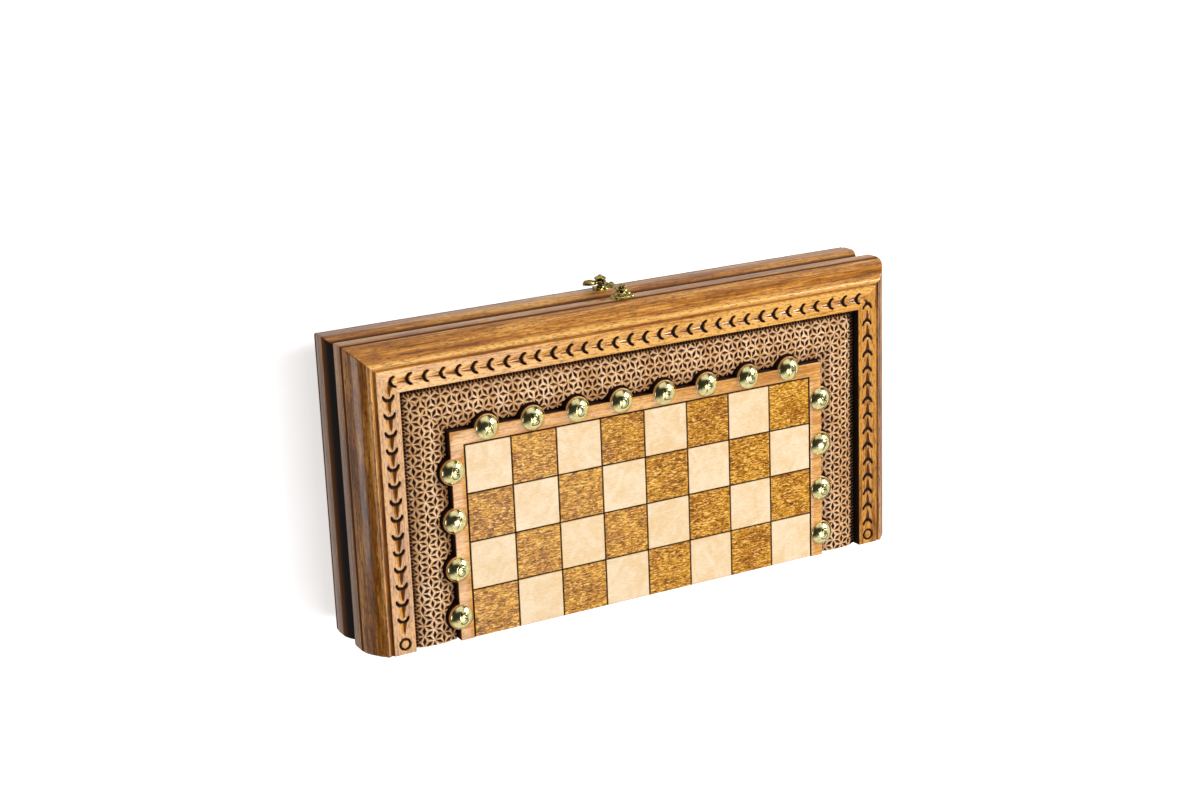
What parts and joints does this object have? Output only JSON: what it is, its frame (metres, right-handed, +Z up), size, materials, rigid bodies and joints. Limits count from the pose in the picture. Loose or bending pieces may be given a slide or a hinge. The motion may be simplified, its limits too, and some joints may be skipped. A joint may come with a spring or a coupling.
{
  "type": "folding chess set",
  "caption": "Folding wooden chess box with a carved border, studded board face, hinged lid, hook latch, and turned men lying in fitted nests.",
  "frame": {"origin": "middle of the hinge-side edge of the closed box, at the seam between base and lid", "axes": "+X along the hinge, +Y out of the hinge-side edge that the pictured box stands on, +Z up through the lid's board face, with the box lying flat on its base half"},
  "size_m": [0.4, 0.2115, 0.0856],
  "materials": {
    "frame_beech": "stained golden brown and lacquered, gloss",
    "carved_lime": "chip carved, dark in the pits, satin lacquer",
    "border_walnut": "stained and lacquered, gloss",
    "maple_veneer": "lacquered veneer, gloss",
    "walnut_veneer": "lacquered veneer, gloss",
    "stud_brass": "polished",
    "latch_brass": "cast, antique",
    "hinge_brass": "plated, satin",
    "fastener_brass": "plated",
    "pin_steel": "drawn wire",
    "nest_flock": "green flock on a moulded tray",
    "light_boxwood": "turned and lacquered",
    "dark_boxwood": "turned, stained and lacquered"
  },
  "bodies": {
    "base": {"base_board_panel": "border_walnut", "base_carved_panel": "carved_lime", "base_clasp_rail": "frame_beech", "base_dark_squares": "walnut_veneer", "base_file_studs": "stud_brass", "base_hinge_rail": "frame_beech", "base_hinge_screws": "fastener_brass", "base_left_rail": "frame_beech", "base_light_squares": "maple_veneer", "base_nest": "nest_flock", "base_rank_studs": "stud_brass", "base_right_rail": "frame_beech", "dark_bishops": "dark_boxwood", "dark_king": "dark_boxwood", "dark_knights": "dark_boxwood", "dark_pawns": "dark_boxwood", "dark_queen": "dark_boxwood", "dark_rooks": "dark_boxwood", "latch_pivot": "latch_brass", "latch_plate": "latch_brass", "latch_plate_nails": "fastener_brass", "left_hinge_base_leaf": "hinge_brass", "left_hinge_pin": "pin_steel", "right_hinge_base_leaf": "hinge_brass", "right_hinge_pin": "pin_steel"},
    "lid": {"latch_keeper": "latch_brass", "latch_keeper_nails": "fastener_brass", "left_hinge_lid_leaf": "hinge_brass", "lid_board_panel": "border_walnut", "lid_carved_panel": "carved_lime", "lid_clasp_rail": "frame_beech", "lid_dark_squares": "walnut_veneer", "lid_file_studs": "stud_brass", "lid_hinge_rail": "frame_beech", "lid_hinge_screws": "fastener_brass", "lid_left_rail": "frame_beech", "lid_light_squares": "maple_veneer", "lid_nest": "nest_flock", "lid_rank_studs": "stud_brass", "lid_right_rail": "frame_beech", "light_bishops": "light_boxwood", "light_king": "light_boxwood", "light_knights": "light_boxwood", "light_pawns": "light_boxwood", "light_queen": "light_boxwood", "light_rooks": "light_boxwood", "right_hinge_lid_leaf": "hinge_brass"},
    "latch_hook": {"latch_hook": "latch_brass"}
  },
  "joints": [
    {"name": "lid_hinge", "type": "hinge", "parent": "base", "child": "lid", "pos_m": [0, 0.0001, 0], "axis": [-1, 0, 0], "range_deg": [0, 180]},
    {"name": "latch_swing", "type": "hinge", "parent": "base", "child": "latch_hook", "pos_m": [0, -0.2, -0.0149], "axis": [0, 1, 0], "range_deg": [0, 100]}
  ]
}
